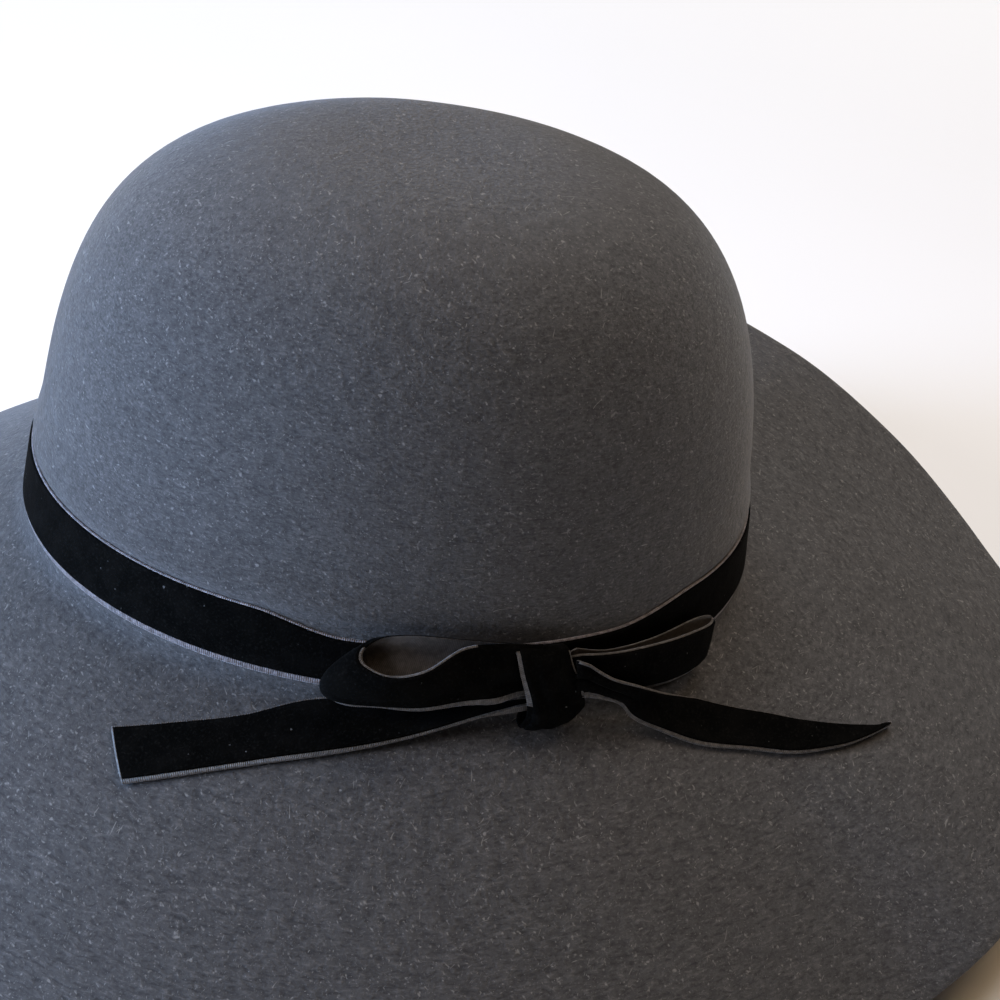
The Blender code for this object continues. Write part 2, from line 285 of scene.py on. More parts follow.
def make_camera():
    """The camera at the photograph's view."""
    azimuth, elevation, distance = VIEW_AZIMUTH, VIEW_ELEVATION, VIEW_DISTANCE
    yaw, pitch, roll = VIEW_YAW, VIEW_PITCH, VIEW_ROLL
    flat = math.cos(elevation)
    place = AXIS + Vector((0, 0, VIEW_HEIGHT)) + distance * Vector((
        math.sin(azimuth) * flat, -math.cos(azimuth) * flat, math.sin(elevation),
    ))
    forward = Vector((math.cos(pitch) * math.sin(yaw), math.cos(pitch) * math.cos(yaw), -math.sin(pitch)))
    level = Vector((math.cos(yaw), -math.sin(yaw), 0))
    upward = level.cross(forward)
    right = level * math.cos(roll) + upward * math.sin(roll)
    up = upward * math.cos(roll) - level * math.sin(roll)
    camera = bpy.data.objects.new("camera", bpy.data.cameras.new("camera"))
    bpy.context.scene.collection.objects.link(camera)
    camera.matrix_world = Matrix.Translation(place) @ Matrix((right, up, -forward)).transposed().to_4x4()
    camera.data.sensor_width = SENSOR_WIDTH
    camera.data.lens = FOCAL_PIXELS / FRAME_PIXELS * camera.data.sensor_width
    camera.data.clip_start = NEAREST_SEEN
    bpy.context.scene.camera = camera


def closed_curve_value(rows, angle):
    """Height of a smooth closed curve through (angle, value) rows, at an angle in degrees."""
    angle = angle % 360
    index = max(i for i, row in enumerate(rows) if row[0] <= angle)
    before, start, end, after = (rows[(index + step) % len(rows)] for step in (-1, 0, 1, 2))
    width = (end[0] - start[0]) % 360
    start_slope = (end[1] - before[1]) / ((end[0] - before[0]) % 360)
    end_slope = (after[1] - start[1]) / ((after[0] - start[0]) % 360)
    t = (angle - start[0]) / width
    return (
        (2 * t**3 - 3 * t**2 + 1) * start[1] + (t**3 - 2 * t**2 + t) * width * start_slope
        + (3 * t**2 - 2 * t**3) * end[1] + (t**3 - t**2) * width * end_slope
    )


def smooth_rows(rows, steps):
    """The rows with steps - 1 more between each two, on a smooth curve through each column."""
    result = []
    last = len(rows) - 1
    for i in range(last):
        before, start, end, after = rows[max(i - 1, 0)], rows[i], rows[i + 1], rows[min(i + 2, last)]
        for step in range(steps):
            t = step / steps
            result.append([
                b + 0.5 * t * (c - a + t * (2 * a - 5 * b + 4 * c - d + t * (3 * (b - c) + d - a)))
                for a, b, c, d in zip(before, start, end, after)
            ])
    result.append(list(rows[last]))
    return result


def smoothstep(low, high, value):
    """Soft step from 0 at the low value to 1 at the high one."""
    t = min(max((value - low) / (high - low), 0), 1)
    return t * t * (3 - 2 * t)


def wall_point(angle, out, height):
    """Point at a distance out from the crown's wall, at a height above its foot."""
    scale = 1 - CROWN_TAPER * height / CROWN_HEIGHT
    normal = Vector((math.cos(angle) / HALF_LENGTH, math.sin(angle) / HALF_WIDTH, 0)).normalized()
    foot = Vector((HALF_LENGTH * scale * math.cos(angle), HALF_WIDTH * scale * math.sin(angle), height))
    return AXIS + foot + normal * out


def crown_point(angle, turn):
    """Point of the crown's outer face. The turn runs from 0 at its foot to a right angle at its top."""
    rise = math.sin(turn) ** (2 / SIDE_POWER)
    scale = (1 - CROWN_TAPER * rise) * max(math.cos(turn), 0) ** (2 / TOP_POWER)
    return AXIS + Vector((
        HALF_LENGTH * scale * math.cos(angle), HALF_WIDTH * scale * math.sin(angle), CROWN_HEIGHT * rise,
    ))


def brim_reach(angle):
    """Horizontal reach of the brim at an angle round the hat, and its edge's drop."""
    drop = BRIM_DROP * closed_curve_value(BRIM_EDGE, math.degrees(angle))
    return math.sqrt(BRIM_WIDTH**2 - drop**2), drop


def brim_point(angle, out):
    """Point of the brim's upper face at a distance out from the crown's wall."""
    reach, drop = brim_reach(angle)
    share = out / reach
    corner = BREAK_RADIUS
    if out < BREAK_RADIUS:
        corner = math.sqrt(BREAK_RADIUS**2 - (BREAK_RADIUS - out) ** 2)
    slope_drop = (drop - BREAK_RADIUS) * (BRIM_START * share + (1 - BRIM_START) * share**2)
    return wall_point(angle, out, 0) - Vector((0, 0, corner + slope_drop))


def band_arcs():
    """Angles round the hat and their lengths along the band from the bow's middle, both ways."""
    out = CLEARANCE + RIBBON_THICKNESS
    arcs = {}
    for side in (-1, 1):
        angle = BOW_ANGLE
        length = 0
        table = [(length, angle)]
        while abs(angle - BOW_ANGLE) < math.pi:
            next_angle = angle + side * ARC_STEP
            length += (wall_point(next_angle, out, 0) - wall_point(angle, out, 0)).length
            angle = next_angle
            table.append((length, angle))
        arcs[side] = table
    return arcs


def angle_at(table, length):
    """Angle round the hat at a length along the band."""
    index = next(i for i, row in enumerate(table) if row[0] >= length)
    if index == 0:
        return table[0][1]
    (start, start_angle), (end, end_angle) = table[index - 1], table[index]
    return start_angle + (end_angle - start_angle) * (length - start) / (end - start)


def crown_turns():
    """Turns that space the crown's rings evenly along its section, from its top down to the band's top."""
    path = [crown_point(0, math.pi / 2 * i / PATH_SAMPLES) for i in range(PATH_SAMPLES, -1, -1)]
    lengths = [0]
    for start, end in zip(path, path[1:]):
        lengths.append(lengths[-1] + (end - start).length)
    lowest = BAND_FOOT + RIBBON_WIDTH + RING_MARGIN
    stop = next(i for i, point in enumerate(path) if point.z - AXIS.z < lowest)
    turns = []
    index = 0
    for ring in range(1, CROWN_RINGS + 1):
        goal = lengths[stop] * ring / CROWN_RINGS
        while lengths[index] < goal:
            index += 1
        turns.append(math.pi / 2 * (PATH_SAMPLES - index) / PATH_SAMPLES)
    return turns


def felt_rows():
    """The felt's outer face as rings of points, from the crown's top to the brim's edge."""
    angles = [2 * math.pi * i / RING_POINTS for i in range(RING_POINTS)]
    rows = [[crown_point(angle, turn) for angle in angles] for turn in crown_turns()]
    for i in range(BAND_RINGS, -1, -1):
        height = (BAND_FOOT + RIBBON_WIDTH) * i / BAND_RINGS
        rows.append([wall_point(angle, 0, height) for angle in angles])
    for i in range(1, BREAK_RINGS + 1):
        out = BREAK_RADIUS * (1 - math.cos(math.pi / 2 * i / BREAK_RINGS))
        rows.append([brim_point(angle, out) for angle in angles])
    reaches = [brim_reach(angle)[0] for angle in angles]
    for i in range(1, BRIM_RINGS + 1):
        rows.append([
            brim_point(angle, BREAK_RADIUS + (reach - BREAK_RADIUS) * i / BRIM_RINGS)
            for angle, reach in zip(angles, reaches)
        ])
    return rows


def grid_normals(rows, closed_along=False, closed_across=False):
    """Unit normal at each point of a grid, from its neighbours along and across."""
    last_row, last_column = len(rows) - 1, len(rows[0]) - 1
    normals = []
    for i, row in enumerate(rows):
        above = rows[i - 1] if i or closed_along else row
        below = rows[(i + 1) % len(rows)] if i < last_row or closed_along else row
        line = []
        for j in range(last_column + 1):
            left = row[j - 1] if j or closed_across else row[j]
            right = row[(j + 1) % len(row)] if j < last_column or closed_across else row[j]
            line.append((below[j] - above[j]).cross(right - left).normalized())
        normals.append(line)
    return normals


def felt_unevenness(point, bow):
    """How far the hand-blocked felt stands off its even form.

    It is softly uneven away from the ribbon and the bow, and it swells out just above the tight band.
    """
    height = point.z - AXIS.z
    spread = math.hypot(point.x - AXIS.x, point.y - AXIS.y)
    free = smoothstep(*UNEVEN_HEIGHT, height) if height > 0 else smoothstep(*UNEVEN_SPREAD, spread)
    if height < 0:
        free *= smoothstep(*UNEVEN_FROM_BOW, (point - bow).length)
    wide = noise.noise(point * WIDE_SCALE + WIDE_SHIFT)
    small = noise.noise(point * SMALL_SCALE + SMALL_SHIFT)
    swell = 0
    if height > BAND_FOOT + RIBBON_WIDTH + BITE_START:
        above = height - BAND_FOOT - RIBBON_WIDTH
        swell = BAND_BITE * smoothstep(*BITE_RISE, above) * (1 - smoothstep(*BITE_FADE, above))
        swell *= smoothstep(*BITE_FROM_BOW, (point - bow).length)
    return swell + free * (WIDE_SWELL * wide + SMALL_SWELL * small)


def link_mesh(name, build, materials):
    """A smooth-shaded object from a finished bmesh."""
    bmesh.ops.recalc_face_normals(build, faces=build.faces)
    mesh = bpy.data.meshes.new(name)
    build.to_mesh(mesh)
    build.free()
    for material in materials:
        mesh.materials.append(material)
    mesh.shade_smooth()
    piece = bpy.data.objects.new(name, mesh)
    bpy.context.scene.collection.objects.link(piece)
    return piece


def make_felt(material):
    """Crown and brim as one felt wall, with a softly rounded raw edge."""
    outer = felt_rows()
    bow = wall_point(BOW_ANGLE, BOW_OUT, 0)
    normals = grid_normals(outer, closed_across=True)
    outer = [
        [point + normal * felt_unevenness(point, bow) for point, normal in zip(row, line)]
        for row, line in zip(outer, normals)
    ]
    inner = [
        [point - normal * FELT_WALL for point, normal in zip(row, line)]
        for row, line in zip(outer, normals)
    ]
    edge = []
    for i in range(1, EDGE_RINGS):
        turn = math.pi * i / EDGE_RINGS
        bulge = EDGE_BULGE * math.sin(turn) ** EDGE_POWER
        depth = FELT_WALL * (1 - math.cos(turn)) / 2
        row = []
        for point, before, normal in zip(outer[-1], outer[-2], normals[-1]):
            beyond = (point - before).normalized()
            row.append(point - normal * depth + beyond * bulge)
        edge.append(row)
    rings = outer + edge + inner[::-1]
    build = bmesh.new()
    grid = [[build.verts.new(point) for point in row] for row in rings]
    for upper, lower in zip(grid, grid[1:]):
        for i in range(RING_POINTS):
            j = (i + 1) % RING_POINTS
            build.faces.new((upper[i], lower[i], lower[j], upper[j]))
    for ring, depth in ((grid[0], 0), (grid[-1], FELT_WALL)):
        top = build.verts.new(AXIS + Vector((0, 0, CROWN_HEIGHT - depth)))
        for i in range(RING_POINTS):
            build.faces.new((top, ring[i], ring[(i + 1) % RING_POINTS]))
    return link_mesh("felt_crown_and_brim", build, [material])


def ribbon_columns(first_width, last_width):
    """Shares across a ribbon with two widths of selvage, and the face's height above the back at each."""
    sides = []
    for width in (first_width, last_width):
        start = width / RIBBON_WIDTH
        columns = [
            (width * place / RIBBON_WIDTH, SELVAGE_HEIGHT * height) for place, height in SELVAGE_PROFILE
        ]
        columns.append((start, SELVAGE_HEIGHT * SELVAGE_END))
        columns += [(start + place, PILE_HEIGHT * height) for place, height in PILE_STEPS]
        sides.append(columns)
    first, last = sides[0][-1][0], 1 - sides[1][-1][0]
    middle = [
        (first + (last - first) * i / MIDDLE_COLUMNS, PILE_HEIGHT) for i in range(1, MIDDLE_COLUMNS)
    ]
    return sides[0] + middle + [(1 - place, height) for place, height in reversed(sides[1])]


# Columns across each ribbon, from the widths of its two selvages. The pale selvage is drawn wider on the
# edge that catches the light than on the shaded edge, a painted highlight
BAND_COLUMNS = ribbon_columns(0.0018, 0.0004)
LOOP_COLUMNS = ribbon_columns(0.0018, 0.00045)
TAIL_COLUMNS = ribbon_columns(0.0005, 0.0013)
KNOT_COLUMNS = ribbon_columns(0.0014, 0.0009)
EDGE_COLUMNS = len(SELVAGE_PROFILE)

# Places of a ribbon's materials in its list
VELVET, SELVAGE, SATIN = 0, 1, 2


def make_ribbon(name, rows, columns, materials, sink=0.0, closed=False, outward=None, bare=(), cut=False):
    """A velvet ribbon through rows of points on its back face, one point for each of the columns.

    The sink is how far the back face lies below the given points. The velvet faces the way that
    outward says for the row five eighths along. Bare stretches, as (edge, first share, last share),
    are where a selvage is turned in and velvet shows. A cut ribbon shows its backing at its end,
    and the last narrow stretch of its face takes the same pale colour: a painted highlight of the lit
    cut end.
    """
    normals = grid_normals(rows, closed_along=closed)
    middle = len(columns) // 2
    sign = 1 if normals[int(len(rows) * FACING_SHARE)][middle].dot(outward) > 0 else -1
    build = bmesh.new()
    flat = build.loops.layers.uv.new("ribbon")
    front, back, lengths = [], [], [0]
    for i, (row, line) in enumerate(zip(rows, normals)):
        if i:
            lengths.append(lengths[-1] + (row[middle] - rows[i - 1][middle]).length)
        face, under = [], []
        for (share, height), point, normal in zip(columns, row, line):
            pile = 0
            if height > LOWEST_PILE:
                pile = PILE_UNEVENNESS * noise.noise(point * PILE_SCALE)
            face.append(build.verts.new(point + normal * sign * (height - sink + pile)))
            under.append(build.verts.new(point - normal * sign * sink))
        front.append(face)
        back.append(under)
    count = len(columns)
    total = len(rows) if closed else len(rows) - 1
    if closed:
        lengths.append(lengths[-1] + (rows[0][middle] - rows[-1][middle]).length)

    def hidden(edge, share):
        return any(side == edge and first <= share <= last for side, first, last in bare)

    def add(corners, places, slot):
        made = build.faces.new(corners)
        made.material_index = slot
        for loop, (across, along) in zip(made.loops, places):
            loop[flat].uv = (across * RIBBON_WIDTH, along)

    for i in range(total):
        j = (i + 1) % len(rows)
        start, end = lengths[i], lengths[i + 1]
        for k in range(count - 1):
            left, right = columns[k][0], columns[k + 1][0]
            places = ((left, start), (right, start), (right, end), (left, end))
            edge = 0 if k < EDGE_COLUMNS else 1 if k >= count - 1 - EDGE_COLUMNS else None
            slot = VELVET if edge is None or hidden(edge, i / total) else SELVAGE
            # The last narrow stretch of a cut ribbon's face takes the pale selvage colour: its bare
            # backing, drawn wider as a painted highlight of the lit cut end
            if cut and i == total - 1:
                slot = SELVAGE
            add((front[i][k], front[i][k + 1], front[j][k + 1], front[j][k]), places, slot)
            slot = SATIN if slot == VELVET else SELVAGE
            add((back[i][k], back[i][k + 1], back[j][k + 1], back[j][k]), places, slot)
        for k in (0, count - 1):
            share = columns[k][0]
            places = ((share, start), (share, start), (share, end), (share, end))
            slot = VELVET if hidden(0 if k == 0 else 1, i / total) else SELVAGE
            add((front[i][k], back[i][k], back[j][k], front[j][k]), places, slot)
    if not closed:
        for i, along in ((0, 0), (-1, lengths[-1])):
            for k in range(count - 1):
                left, right = columns[k][0], columns[k + 1][0]
                places = ((left, along), (right, along), (right, along), (left, along))
                slot = SELVAGE if cut and i == -1 else VELVET
                add((front[i][k], front[i][k + 1], back[i][k + 1], back[i][k]), places, slot)
    return link_mesh(name, build, materials)


def make_band(materials):
    """Velvet band round the crown's foot, its upper edge drawn down beside the bow."""
    rows = []
    for i in range(BAND_POINTS):
        angle = -2 * math.pi * i / BAND_POINTS
        along = (angle - BOW_ANGLE) * (wall_point(BOW_ANGLE, 0, 0) - AXIS).length
        dip = BAND_DIP * smoothstep(*DIP_LEFT, along) * (1 - smoothstep(*DIP_RIGHT, along))
        row = []
        for share, _ in BAND_COLUMNS:
            height = BAND_FOOT + RIBBON_WIDTH * share - dip * smoothstep(DIP_START, 1, share)
            row.append(wall_point(angle, BAND_SEAT, height))
        rows.append(row)
    outward = wall_point(-2 * math.pi * FACING_SHARE, 1, 0) - AXIS
    return make_ribbon("velvet_band", rows, BAND_COLUMNS, materials, closed=True, outward=outward)


def pleat(share, place, folds, depth, reach):
    """How far a gathered ribbon's fold stands out, fading with the distance from the knot."""
    return depth * math.cos(2 * math.pi * folds * share) * math.exp(-((place / reach) ** 2))


def make_loop(name, side, length, sections, arcs, materials, folds, scoop, flare, round_end, bare):
    """One loop of the bow, beside the band, with its two ends drawn into the knot.

    The scoop is how far the back layer's foot stands out, the flare how far the front layer's foot does,
    and round_end the share of the length by which the middle of its outer end stands out sideways.
    """
    seat = 2 * CLEARANCE + 1.5 * RIBBON_THICKNESS
    knot_side = KNOT_WIDTH / 2 + CLEARANCE
    table = smooth_rows(sections, STEPS_PER_ROW)
    ends = []
    for row in (table[0], table[-1]):
        inside = list(row)
        for column in (0, 3):
            inside[column] -= HIDDEN_END / length
        for column in (1, 4):
            inside[column] = inside[column] * HIDDEN_KEPT + HIDDEN_OUT
        ends.append(inside)
    table = [ends[0]] + table + [ends[1]]
    rows = []
    for index, (foot_place, foot_out, foot_up, rim_place, rim_out, rim_up, bulge) in enumerate(table):
        behind = 1 - smoothstep(*BACK_LAYER_END, index / len(table))
        front = smoothstep(*FRONT_LAYER_START, index / len(table)) * flare
        row = []
        for share, _ in LOOP_COLUMNS:
            place = foot_place + (rim_place - foot_place) * share
            place += round_end * smoothstep(*LOOP_END, place) * 4 * share * (1 - share)
            out = foot_out + (rim_out - foot_out) * share + bulge * 4 * share * (1 - share)
            up = foot_up + (rim_up - foot_up) * share
            angle = angle_at(arcs[side], knot_side + place * length)
            fold = pleat(share, max(place, 0), folds, *LOOP_PLEAT) if out > PLEATED_OUT else 0
            wave = 1 + FLARE_WAVE * math.sin(FLARE_TURNS * place)
            lip = wave * (1 - smoothstep(0, FLARE_WIDTH, share)) * smoothstep(0, FLARE_START, place)
            fold += front * lip
            fold += scoop * behind * smoothstep(*SCOOP_START, place) * (1 - smoothstep(*SCOOP_WIDTH, share))
            row.append(wall_point(angle, seat + out * RIBBON_WIDTH + fold, up * RIBBON_WIDTH))
        rows.append(row)
    angle = angle_at(arcs[side], knot_side)
    outward = wall_point(angle, 1, 0) - wall_point(angle, 0, 0)
    return make_ribbon(
        name, rows, LOOP_COLUMNS, materials, sink=RIBBON_THICKNESS / 2, outward=outward, bare=bare,
    )


def make_tail(name, side, length, sections, arcs, materials, folds):
    """One free end of the ribbon, from inside the knot down on to the brim."""
    band_face = CLEARANCE + RIBBON_THICKNESS
    knot_side = KNOT_WIDTH / 2 + CLEARANCE
    table = smooth_rows(sections, STEPS_PER_ROW)
    inside = list(table[0])
    for column in (0, 3):
        inside[column] -= HIDDEN_END / length
    inside[2] += (table[0][2] - table[STEPS_PER_ROW][2]) * HIDDEN_RISE
    last, before = table[-1], table[-2]
    almost = [end + (start - end) * CUT_WIDTH for start, end in zip(before, last)]
    table = [inside] + table[:-1] + [almost, last]
    rows = []
    for inner_place, inner_out, inner_rise, outer_place, outer_out, outer_rise in table:
        row = []
        for share, _ in TAIL_COLUMNS:
            place = inner_place + (outer_place - inner_place) * share
            out = band_face + (inner_out + (outer_out - inner_out) * share) * RIBBON_WIDTH
            rise = (inner_rise + (outer_rise - inner_rise) * share) * RIBBON_WIDTH
            angle = angle_at(arcs[side], knot_side + place * length)
            out += pleat(share, max(place, 0), folds, *TAIL_PLEAT)
            row.append(brim_point(angle, out) + Vector((0, 0, rise)))
        rows.append(row)
    return make_ribbon(name, rows, TAIL_COLUMNS, materials, outward=Vector((0, 0, 1)), cut=True)


def make_knot(arcs, materials):
    """The wrap over the bow's middle: a short ribbon round the gathered ends, open at both sides."""
    rows = []
    first_turn, last_turn = KNOT_TURNS
    pinch_depth, pinch_power = KNOT_PINCH
    slide_back, back_start = SLIDE_BACK
    crease_across, crease_up = CREASE_TURNS
    uneven_across, uneven_up, uneven_shift = UNEVEN_PLACE
    for i in range(KNOT_STEPS + 1):
        turn = math.radians(first_turn + (last_turn - first_turn) * i / KNOT_STEPS)
        forward = math.copysign(abs(math.cos(turn)) ** KNOT_ROUNDNESS, math.cos(turn))
        up = math.copysign(abs(math.sin(turn)) ** KNOT_ROUNDNESS, math.sin(turn))
        down = (1 - up) / 2
        lean = KNOT_LEAN * (1 - up) / 2
        height = (KNOT_HEIGHT - KNOT_TRIM) * (1 + up) / 2 - KNOT_SAG + KNOT_LIFT
        depth = (KNOT_DEPTH - RIBBON_THICKNESS / 2) * (1 + forward) / 2
        slide = smoothstep(0, SLIDE_END, down) - slide_back * smoothstep(back_start, 1, down)
        upper, lower = 1 - smoothstep(0, TOP_END, down), smoothstep(FOOT_START, 1, down)
        row = []
        for share, _ in KNOT_COLUMNS:
            across = 2 * share - 1
            pinch = 1 - pinch_depth * abs(across) ** pinch_power
            wave = math.cos(math.pi * (crease_across * across + crease_up * up) + CREASE_SHIFT)
            crease = KNOT_CREASE * wave * max(forward, 0)
            spot = Vector((across * uneven_across, up * uneven_up, uneven_shift))
            crease += KNOT_UNEVENNESS * noise.noise(spot)
            distance = 2 * CLEARANCE + RIBBON_THICKNESS + lean + depth * pinch + crease
            along = across * KNOT_WIDTH * KNOT_SPREAD + KNOT_SLIDE * slide - KNOT_SHIFT
            angle = angle_at(arcs[1 if along > 0 else -1], abs(along))
            tilt = FOOT_TILT * smoothstep(FOOT_TILT_START, 1, across)
            rise = lower * (FOOT_RISE + tilt) - TOP_TILT * upper * across
            row.append(wall_point(angle, max(distance, KNOT_NEAREST), height + rise))
        rows.append(row)
    rows.reverse()
    outward = wall_point(BOW_ANGLE, 1, 0) - wall_point(BOW_ANGLE, 0, 0)
    return make_ribbon(
        "velvet_knot", rows, KNOT_COLUMNS, materials, sink=KNOT_SINK, outward=outward, bare=KNOT_BARE,
    )


# Colours of the felt: its two mottled greys, a browner cloud, dark and pale wool, and paler loose fibres
FELT_DARK = (0.0405, 0.0390, 0.0392, 1)
FELT_LIGHT = (0.0620, 0.0603, 0.0608, 1)
FELT_CLOUD = (0.050, 0.044, 0.043, 1)
STREAK_DARK = (0.016, 0.015, 0.015, 1)
GRAIN_DARK = (0.020, 0.019, 0.019, 1)
WOOL_PALE = (0.120, 0.116, 0.114, 1)
FLECK_PALE = (0.220, 0.214, 0.206, 1)
HAIR_PALE = (0.230, 0.224, 0.214, 1)

# Radius that turns an angle round the crown into a length, for the way the felt is brushed, and the
# distances from the axis over which the brushing sets in
BRUSH_RADIUS = 0.095
BRUSH_START = (0.030, 0.065)

# Sizes of the brushed streaks and of the pale flecks, in three directions, and the turn of both
STREAK_SIZE = (0.0019, 0.0016, 0.00062)
FLECK_SIZE = (0.0017, 0.0014, 0.0008)
UNTURNED = (0, 0, 0)
FLECK_TURN = (7, 3, 5)
UNMOVED = (0, 0, 0)

# Colours of the ribbon: its velvet, fuzz and lint, its satin back, and the grooves between woven ribs
VELVET_DARK = (0.0009, 0.0009, 0.0008, 1)
VELVET_LIGHT = (0.0024, 0.0023, 0.0021, 1)
VELVET_FUZZ = (0.0100, 0.0098, 0.0092, 1)
LINT_PALE = (0.16, 0.16, 0.16, 1)
SATIN_DARK = (0.055, 0.048, 0.043, 1)
SATIN_LIGHT = (0.105, 0.092, 0.084, 1)
# Painted highlight on the satin back, where a loop turns it to the light
SATIN_PAINTED_HIGHLIGHT = (0.170, 0.150, 0.135, 1)
SATIN_GROOVE = (0.022, 0.018, 0.016, 1)
SELVAGE_GROOVE = (0.030, 0.027, 0.026, 1)
BOW_SELVAGE_DULL = (0.044, 0.039, 0.036, 1)
BOW_SELVAGE_BRIGHT = (0.115, 0.104, 0.097, 1)
# The band's selvage is painted paler than the bow's, with a cool tint: a painted reflection of the light
# from the left on the band's grazing edge
BAND_SELVAGE_PAINTED_SHEEN_DULL = (0.110, 0.098, 0.102, 1)
BAND_SELVAGE_PAINTED_SHEEN_BRIGHT = (0.280, 0.250, 0.262, 1)

# Spacing of the woven ribs, and the lengths along a ribbon between which a painted highlight makes the
# satin paler
SELVAGE_RIB = 0.00055
SATIN_RIB = 0.00048
SATIN_HIGHLIGHT_ALONG = (0.062, 0.084)

# Colours of the floor and the backdrop
FLOOR_DARK = (0.92, 0.93, 0.95, 1)
FLOOR_LIGHT = (0.94, 0.95, 0.97, 1)
WHITE = (1.0, 1.0, 1.0, 1)


class Nodes:
    """Short way to add and join a material's nodes."""

    def __init__(self, name):
        self.material = bpy.data.materials.new(name)
        self.material.use_nodes = True
        self.tree = self.material.node_tree
        self.shader = self.tree.nodes["Principled BSDF"]

    def add(self, kind, settings=None, inputs=None):
        """A new node with its settings, and its inputs set or joined."""
        node = self.tree.nodes.new(kind)
        for key, value in (settings or {}).items():
            setattr(node, key, value)
        for key, value in (inputs or {}).items():
            self.put(node.inputs[key], value)
        return node

    def put(self, socket, value):
        """Joins the socket to another one, or sets it to a plain value."""
        if isinstance(value, bpy.types.NodeSocket):
            self.tree.links.new(value, socket)
        else:
            socket.default_value = value

    def place(self):
        return self.add("ShaderNodeTexCoord").outputs["Object"]

    def flat(self):
        return self.add("ShaderNodeTexCoord").outputs["UV"]

    def split(self, vector):
        return self.add("ShaderNodeSeparateXYZ", None, {0: vector}).outputs

    def math(self, operation, first, second=0.0):
        return self.add("ShaderNodeMath", {"operation": operation}, {0: first, 1: second}).outputs[0]

    def spread(self, x, y):
        """Distance from an upright axis at which x and y are 0."""
        squares = self.math("ADD", self.math("MULTIPLY", x, x), self.math("MULTIPLY", y, y))
        return self.math("SQRT", squares)

    def ramp(self, value, low, high, start=0.0, end=1.0):
        """Soft step from start to end while the value goes from low to high."""
        node = self.add("ShaderNodeMapRange", {"interpolation_type": "SMOOTHSTEP"}, {
            "Value": value, "From Min": low, "From Max": high, "To Min": start, "To Max": end,
        })
        return node.outputs[0]

    def mix(self, factor, first, second):
        node = self.add("ShaderNodeMix", {"data_type": "RGBA"}, {0: factor, 6: first, 7: second})
        return node.outputs[2]

    def noise(self, vector, scale, detail=2.0, roughness=0.5):
        node = self.add("ShaderNodeTexNoise", None, {
            "Vector": vector, "Scale": scale, "Detail": detail, "Roughness": roughness,
        })
        return node.outputs["Fac"]

    def stretch(self, vector, size, turn, shift):
        """The place divided by a size along each of three turned directions."""
        node = self.add("ShaderNodeMapping", {"vector_type": "TEXTURE"}, {
            "Vector": vector, "Location": shift, "Rotation": turn, "Scale": size,
        })
        return node.outputs[0]

    def bump(self, height, distance, strength=1.0):
        inputs = {"Height": height, "Distance": distance, "Strength": strength}
        return self.add("ShaderNodeBump", None, inputs).outputs[0]

    def finish(self, colour, roughness, normal, sheen=None, **values):
        """The finished material. The sheen is its weight, roughness and tint."""
        self.put(self.shader.inputs["Base Color"], colour)
        self.put(self.shader.inputs["Roughness"], roughness)
        if normal is not None:
            self.put(self.shader.inputs["Normal"], normal)
        if sheen:
            weight, rough, tint = sheen
            self.shader.inputs["Sheen Weight"].default_value = weight
            self.shader.inputs["Sheen Roughness"].default_value = rough
            self.shader.inputs["Sheen Tint"].default_value = tint
        for key, value in values.items():
            self.shader.inputs[key.replace("_", " ")].default_value = value
        return self.material


# Directions of the felt's loose fibres, near level: turns about X, Y and Z in degrees, and one more turn
# about Z in radians that they share. Then their size, and how far each set is moved from the one before
FIBRE_TURNS = [(0, 8, 5), (4, -12, 44)]
FIBRE_TURN = 0.62
FIBRE_SIZE = (0.0050, 0.00036, 0.00036)
FIBRE_MOVE = (0.013, 0.027)
FIBRE_START = 0.22

# How close together the swells of each noise are, for the felt, the velvet, the woven parts and the floor
EVEN_SCALE = 760.0
FLECK_SPECKS = 700.0
CLOUD_SCALE = 34.0
MOTTLE_SCALE = 260.0
GRAIN_SCALE = 1300.0
VELVET_BRUSHED = 160.0
VELVET_PILE = 2600.0
LINT_SCALE = 800.0
FUZZ_SCALE = 1500.0
WORN_SCALE = 900.0
SATIN_SCALE = 700.0
FLOOR_SCALE = 3.0

# How close together the bends of the streaks and of the fibres are, and how far they reach
STREAK_BEND = (300.0, 0.0010)
FIBRE_BEND = (150.0, 0.0045)


def fibre_mask(nodes, place):
    """Where the felt's loose fibres are, in each of their directions."""
    mask = None
    for i, turn in enumerate(FIBRE_TURNS):
        angles = [math.radians(value) for value in turn]
        angles[2] += FIBRE_TURN
        shift = (FIBRE_MOVE[0] * i + FIBRE_START, FIBRE_MOVE[1] * i, 0)
        moved = nodes.stretch(place, FIBRE_SIZE, angles, shift)
        line = nodes.ramp(nodes.noise(moved, 1.0, 0.0), 0.76, 0.86)
        mask = line if mask is None else nodes.math("MAXIMUM", mask, line)
    return mask


def bend(nodes, place, scale, reach):
    """The place moved by a soft noise, which bends whatever pattern is drawn by it."""
    wander = nodes.add("ShaderNodeTexNoise", None, {"Vector": place, "Scale": scale, "Detail": 0.0})
    moved = nodes.add("ShaderNodeVectorMath", {"operation": "MULTIPLY_ADD"}, {
        0: wander.outputs["Color"], 1: (reach, reach, reach), 2: place,
    })
    return moved.outputs[0]


